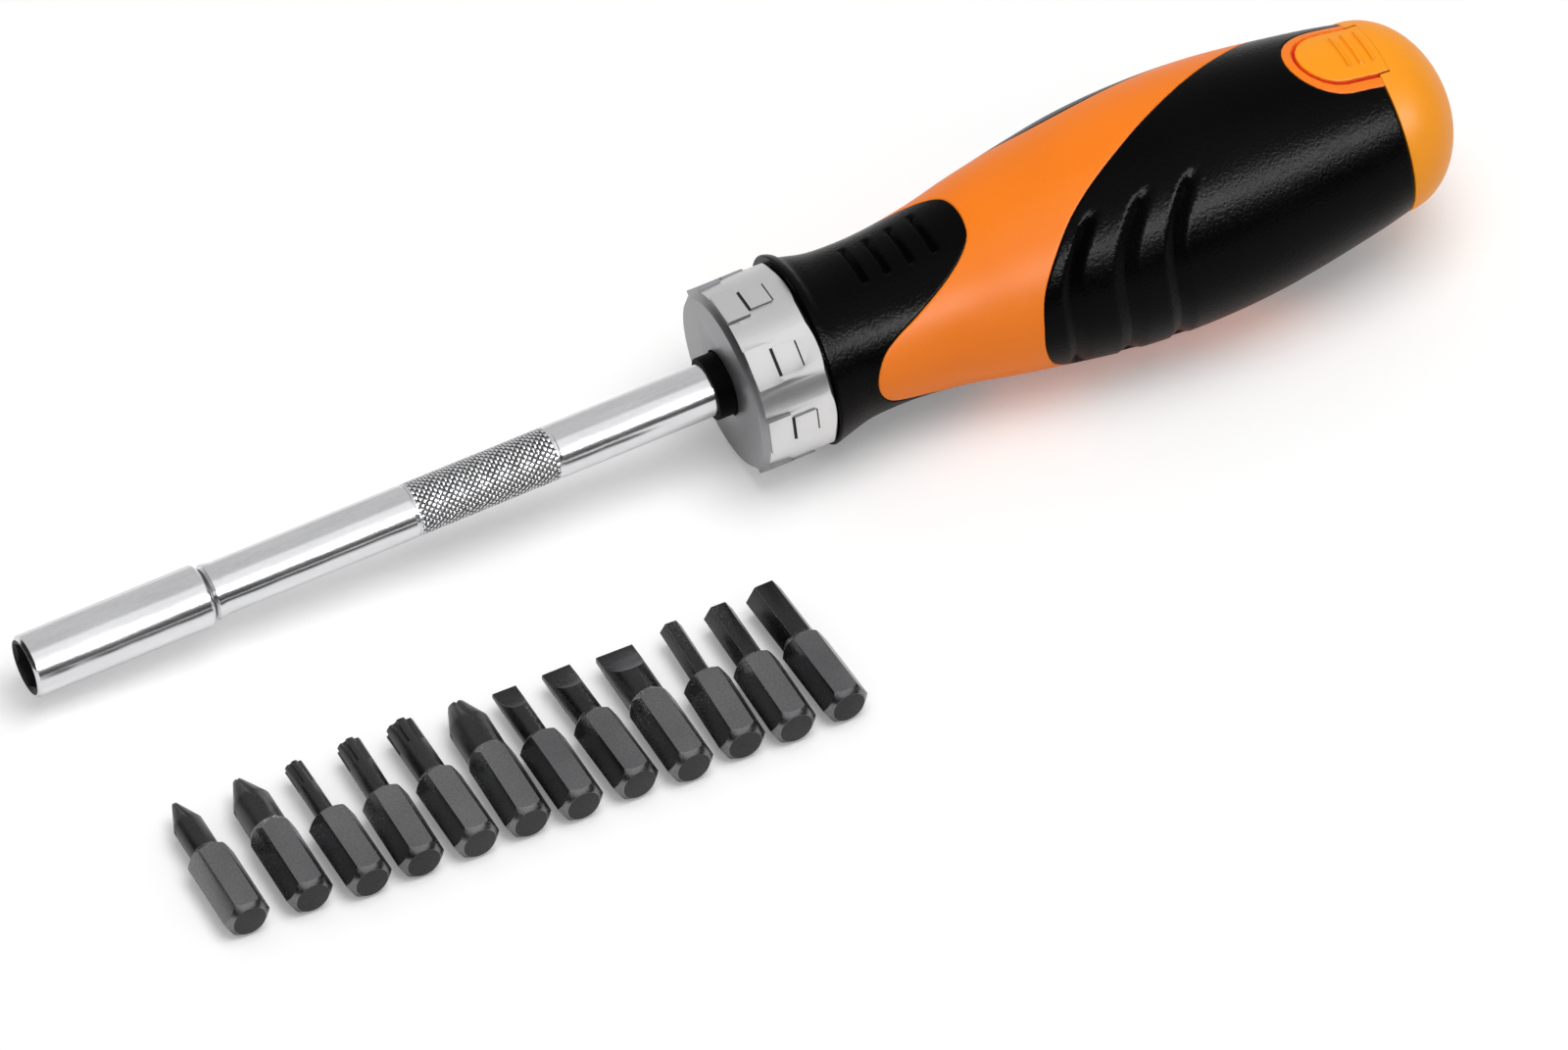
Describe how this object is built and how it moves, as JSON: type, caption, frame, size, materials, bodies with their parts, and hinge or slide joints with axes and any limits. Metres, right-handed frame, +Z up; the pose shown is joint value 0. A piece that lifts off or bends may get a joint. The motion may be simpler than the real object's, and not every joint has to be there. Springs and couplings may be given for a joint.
{
  "type": "ratcheting screwdriver",
  "caption": "Ratcheting screwdriver with a slim magnetic bit holder, selector collar, two-shot soft-grip handle with a pull-out bit rack, and a row of loose hex bits.",
  "frame": {"origin": "centre of the bounding box, on the floor that the tool and the bits lie on", "axes": "+X from the bit holder towards the end cap, +Z up, with the loose bits on the -Y side. The tool's own axis leans up by 3.68 degrees towards the cap, because it lies on its collar and its belly."},
  "size_m": [0.2273, 0.0752, 0.0378],
  "materials": {
    "orange_body": "satin",
    "orange_cap": "satin",
    "rubber": "matte",
    "black_plastic": "matte",
    "chrome_shaft": "polished",
    "satin_collar": "satin",
    "steel": "satin",
    "bronze": "satin",
    "spring_steel": "polished",
    "magnet": "polished",
    "bit_steel": "phosphated"
  },
  "bodies": {
    "handle": {"handle_core": "orange_body", "neck_grip": "rubber", "rear_grip": "rubber", "ratchet_body": "steel", "nose_bush": "black_plastic", "pawl_pins": "steel", "pawl_springs": "spring_steel", "detent_ball": "magnet", "detent_spring": "spring_steel", "collar_snap_ring": "spring_steel", "shaft_bush": "bronze", "thrust_washer": "steel"},
    "spindle": {"shaft": "chrome_shaft", "bit_holder": "chrome_shaft", "socket_magnet": "magnet", "ratchet_gear": "steel", "gear_circlip": "spring_steel"},
    "selector": {"selector_collar": "satin_collar"},
    "forward_pawl": {"forward_pawl": "steel"},
    "reverse_pawl": {"reverse_pawl": "steel"},
    "cap": {"end_cap": "orange_cap", "bit_rack": "orange_cap", "rack_screws": "steel"},
    "latch": {"latch_tongue": "orange_cap"},
    "loose_bit_phillips_small": {"bit_phillips_small": "bit_steel"},
    "loose_bit_phillips_medium": {"bit_phillips_medium": "bit_steel"},
    "loose_bit_star_small": {"bit_star_small": "bit_steel"},
    "loose_bit_star_medium": {"bit_star_medium": "bit_steel"},
    "loose_bit_star_large": {"bit_star_large": "bit_steel"},
    "loose_bit_phillips_large": {"bit_phillips_large": "bit_steel"},
    "loose_bit_slot_narrow": {"bit_slot_narrow": "bit_steel"},
    "loose_bit_slot_medium": {"bit_slot_medium": "bit_steel"},
    "loose_bit_slot_wide": {"bit_slot_wide": "bit_steel"},
    "loose_bit_hex_small": {"bit_hex_small": "bit_steel"},
    "loose_bit_hex_medium": {"bit_hex_medium": "bit_steel"},
    "loose_bit_hex_large": {"bit_hex_large": "bit_steel"}
  },
  "joints": [
    {"name": "shaft_spin", "type": "hinge", "parent": "handle", "child": "spindle", "pos_m": [-0.11354, 0.01828, 0.00709], "axis": [0.9979, 0, 0.0642], "continuous": true},
    {"name": "selector_turn", "type": "hinge", "parent": "handle", "child": "selector", "pos_m": [-0.00207, 0.01828, 0.01426], "axis": [0.9979, 0, 0.0642], "range_deg": [-20, 20]},
    {"name": "forward_pawl_swing", "type": "hinge", "parent": "handle", "child": "forward_pawl", "pos_m": [0.00313, 0.01185, 0.02061], "axis": [0.9979, 0, 0.0642], "range_deg": [-8, 8]},
    {"name": "reverse_pawl_swing", "type": "hinge", "parent": "handle", "child": "reverse_pawl", "pos_m": [0.00321, 0.02567, 0.0194], "axis": [0.9979, 0, 0.0642], "range_deg": [-8, 8]},
    {"name": "cap_slide", "type": "slide", "parent": "handle", "child": "cap", "axis": [0.9979, 0, 0.0642], "range_m": [0, 0.058]},
    {"name": "latch_press", "type": "hinge", "parent": "cap", "child": "latch", "pos_m": [0.10299, 0.01947, 0.03463], "axis": [-0.0056, -0.9962, 0.087], "range_deg": [0, 6], "stiffness_Nm_per_rad": 0.02},
    {"name": "lift_phillips_small", "type": "slide", "parent": "handle", "child": "loose_bit_phillips_small", "axis": [0, 0, 1], "range_m": [0, 0.04]},
    {"name": "lift_phillips_medium", "type": "slide", "parent": "handle", "child": "loose_bit_phillips_medium", "axis": [0, 0, 1], "range_m": [0, 0.04]},
    {"name": "lift_star_small", "type": "slide", "parent": "handle", "child": "loose_bit_star_small", "axis": [0, 0, 1], "range_m": [0, 0.04]},
    {"name": "lift_star_medium", "type": "slide", "parent": "handle", "child": "loose_bit_star_medium", "axis": [0, 0, 1], "range_m": [0, 0.04]},
    {"name": "lift_star_large", "type": "slide", "parent": "handle", "child": "loose_bit_star_large", "axis": [0, 0, 1], "range_m": [0, 0.04]},
    {"name": "lift_phillips_large", "type": "slide", "parent": "handle", "child": "loose_bit_phillips_large", "axis": [0, 0, 1], "range_m": [0, 0.04]},
    {"name": "lift_slot_narrow", "type": "slide", "parent": "handle", "child": "loose_bit_slot_narrow", "axis": [0, 0, 1], "range_m": [0, 0.04]},
    {"name": "lift_slot_medium", "type": "slide", "parent": "handle", "child": "loose_bit_slot_medium", "axis": [0, 0, 1], "range_m": [0, 0.04]},
    {"name": "lift_slot_wide", "type": "slide", "parent": "handle", "child": "loose_bit_slot_wide", "axis": [0, 0, 1], "range_m": [0, 0.04]},
    {"name": "lift_hex_small", "type": "slide", "parent": "handle", "child": "loose_bit_hex_small", "axis": [0, 0, 1], "range_m": [0, 0.04]},
    {"name": "lift_hex_medium", "type": "slide", "parent": "handle", "child": "loose_bit_hex_medium", "axis": [0, 0, 1], "range_m": [0, 0.04]},
    {"name": "lift_hex_large", "type": "slide", "parent": "handle", "child": "loose_bit_hex_large", "axis": [0, 0, 1], "range_m": [0, 0.04]}
  ],
  "couplings": [
    {"joint": "forward_pawl_swing", "follows": "selector_turn", "ratio": -0.4},
    {"joint": "reverse_pawl_swing", "follows": "selector_turn", "ratio": -0.4}
  ]
}
